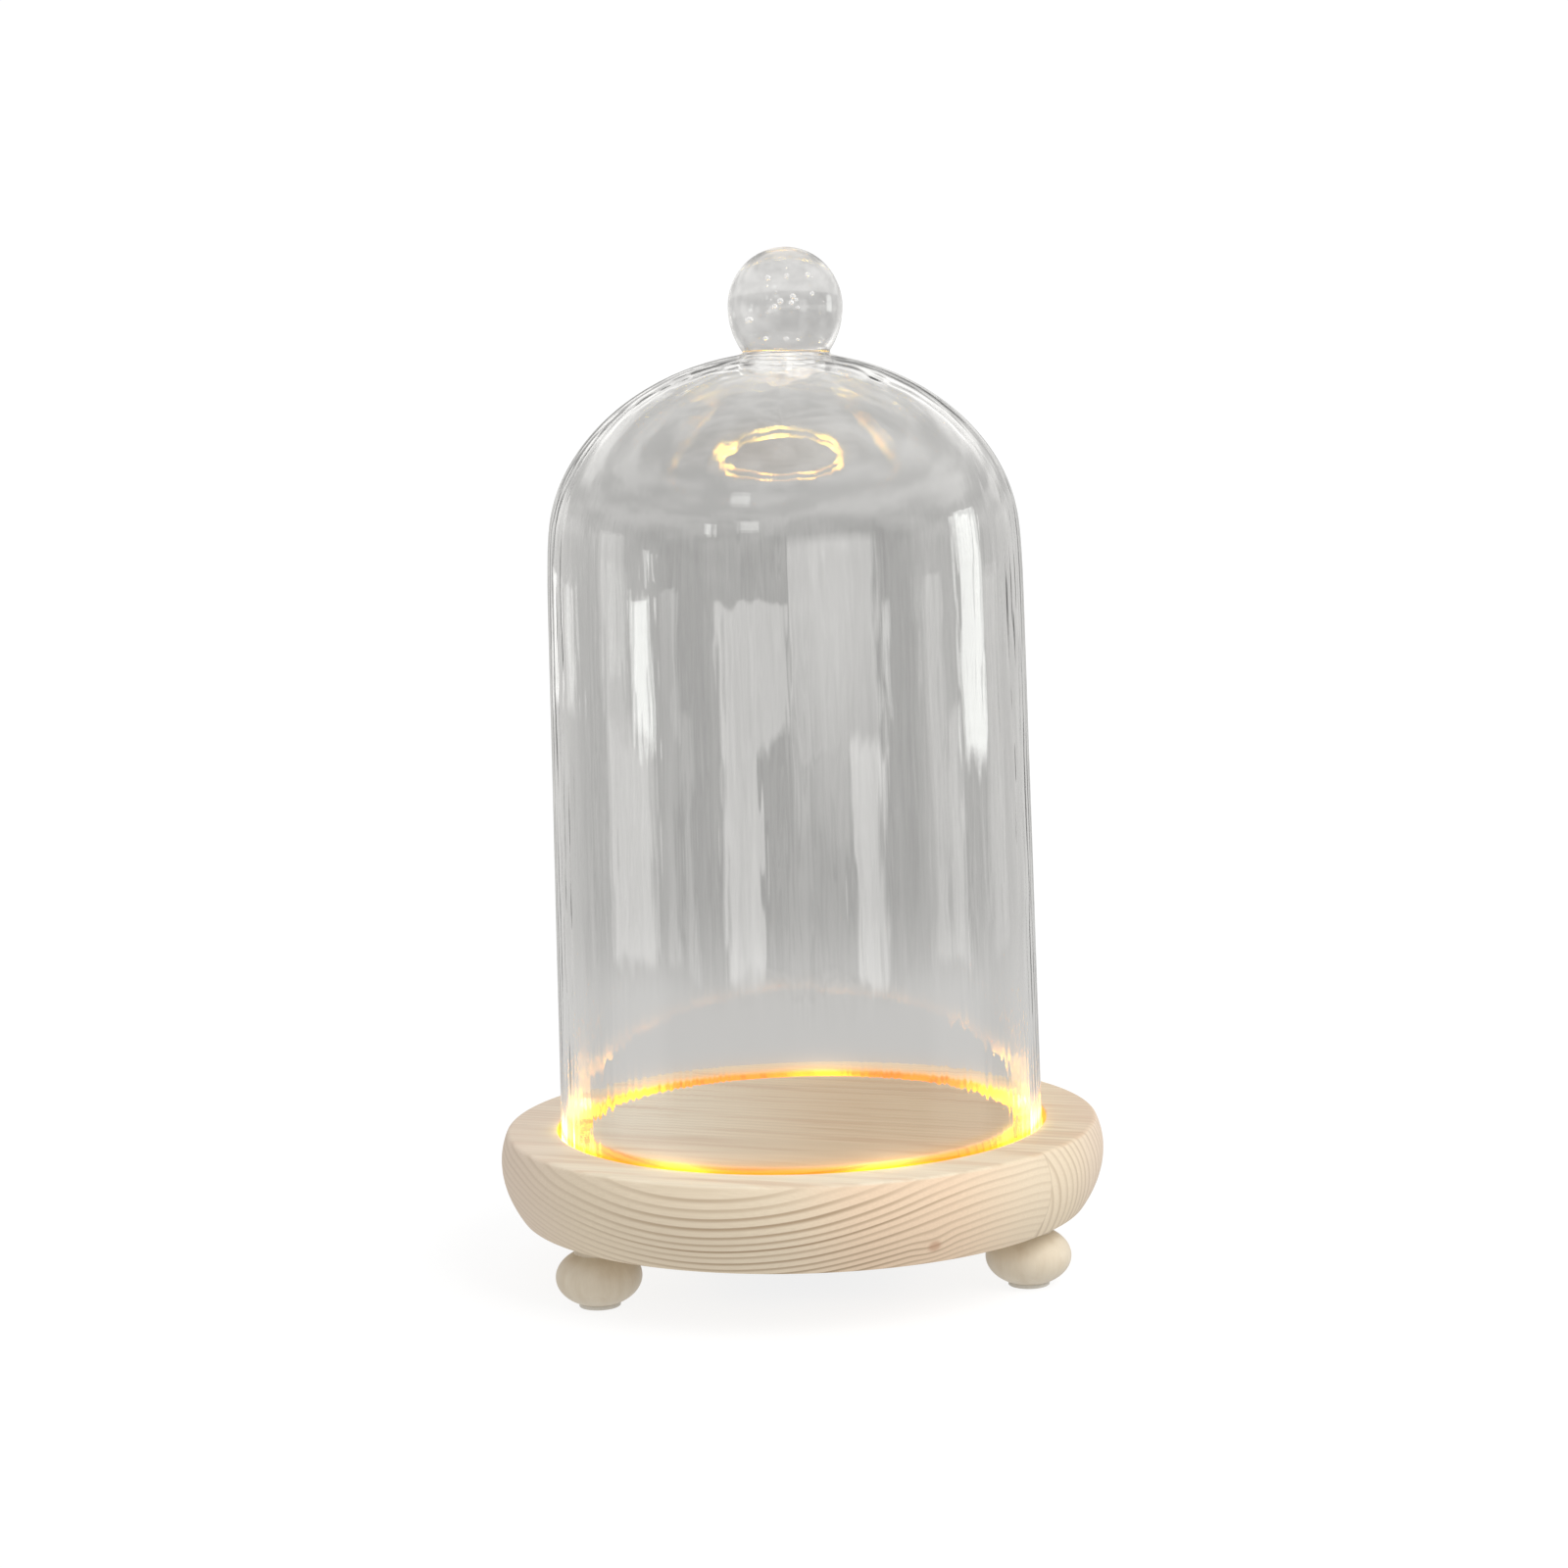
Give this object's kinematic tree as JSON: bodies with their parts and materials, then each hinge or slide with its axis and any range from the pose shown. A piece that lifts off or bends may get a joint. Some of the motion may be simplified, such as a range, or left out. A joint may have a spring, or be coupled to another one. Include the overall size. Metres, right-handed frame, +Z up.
{
  "type": "glass bell jar on lit wooden base",
  "caption": "Clear glass display dome with a ball knob, standing in a lit ring groove of a round pine base on bun feet.",
  "frame": {"origin": "on the floor under the feet, on the dome's axis", "axes": "+Z up along the dome's axis, -Y to the front, +X to the right seen from the front"},
  "size_m": [0.15, 0.15, 0.2521],
  "materials": {
    "pine_wood": "sanded and oiled, matt",
    "foot_wood": "turned, satin varnish",
    "clear_glass": "clear, polished",
    "felt": "needled felt",
    "steel": "nickel plated",
    "copper": "clear-lacquered copper",
    "amber_resin": "clear, lit from inside",
    "led_chip": "glowing",
    "black_plastic": "fine spark-eroded texture",
    "red_sleeve": "soft satin",
    "black_sleeve": "soft satin",
    "cell_wrap": "printed film, plain",
    "resistor": "lacquered"
  },
  "bodies": {
    "base": {"wooden_base": "pine_wood", "foot_front_left": "foot_wood", "foot_front_right": "foot_wood", "foot_back": "foot_wood", "foot_screw_front_left": "steel", "foot_screw_front_right": "steel", "foot_screw_back": "steel", "foot_pad_front_left": "felt", "foot_pad_front_right": "felt", "foot_pad_back": "felt", "light_string": "copper", "led_bead_1": "amber_resin", "led_bead_2": "amber_resin", "led_bead_3": "amber_resin", "led_bead_4": "amber_resin", "led_bead_5": "amber_resin", "led_bead_6": "amber_resin", "led_bead_7": "amber_resin", "led_chip_1": "led_chip", "led_chip_2": "led_chip", "led_chip_3": "led_chip", "led_chip_4": "led_chip", "led_chip_5": "led_chip", "led_chip_6": "led_chip", "led_chip_7": "led_chip", "battery_box": "black_plastic", "battery_1": "cell_wrap", "battery_2": "cell_wrap", "battery_3": "cell_wrap", "contact_bridge_front": "steel", "contact_positive": "steel", "contact_bridge_back": "steel", "contact_negative": "steel", "box_screw_1": "steel", "box_screw_2": "steel", "switch_body": "black_plastic", "series_resistor": "resistor", "lead_red": "red_sleeve", "jumper_red": "red_sleeve", "lead_black": "black_sleeve", "jumper_black": "black_sleeve", "splice_sleeve": "black_sleeve"},
    "dome": {"glass_dome": "clear_glass", "dome_knob": "clear_glass"},
    "door": {"battery_door": "black_plastic"},
    "slider": {"switch_slider": "black_plastic"}
  },
  "joints": [
    {"name": "dome_lift", "type": "slide", "parent": "base", "child": "dome", "axis": [0, 0, 1], "range_m": [0, 0.2]},
    {"name": "battery_door_slide", "type": "slide", "parent": "base", "child": "door", "axis": [0, -1, 0], "range_m": [0, 0.058]},
    {"name": "switch_slide", "type": "slide", "parent": "base", "child": "slider", "axis": [1, 0, 0], "range_m": [0, 0.002]}
  ]
}
